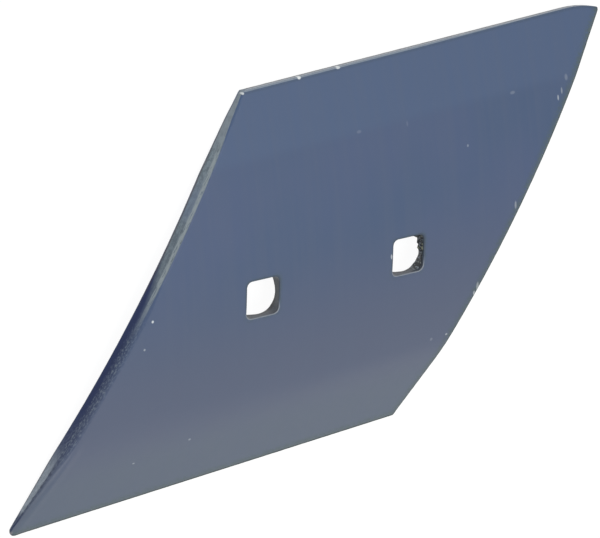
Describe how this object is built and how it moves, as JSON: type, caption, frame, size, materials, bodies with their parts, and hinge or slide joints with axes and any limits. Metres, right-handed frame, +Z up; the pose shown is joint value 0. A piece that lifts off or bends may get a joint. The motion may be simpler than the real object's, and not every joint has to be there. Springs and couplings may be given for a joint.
{
  "type": "plough share",
  "caption": "One-piece steel plough share: a bent parallelogram plate with both long edges drawn thin and square countersunk bolt holes.",
  "frame": {"origin": "on the floor, under the middle of the part's box, as the share lies hollow side down on its long edges", "axes": "+X along the long edges towards the wing end, +Y across the plate towards the upper edge, +Z up out of the bulging back"},
  "size_m": [0.2442, 0.1344, 0.0121],
  "materials": {
    "painted_steel": "slate-blue gloss enamel over forged steel, with small chips along the edges"
  },
  "bodies": {
    "root": {"plough_share": "painted_steel"}
  },
  "joints": []
}
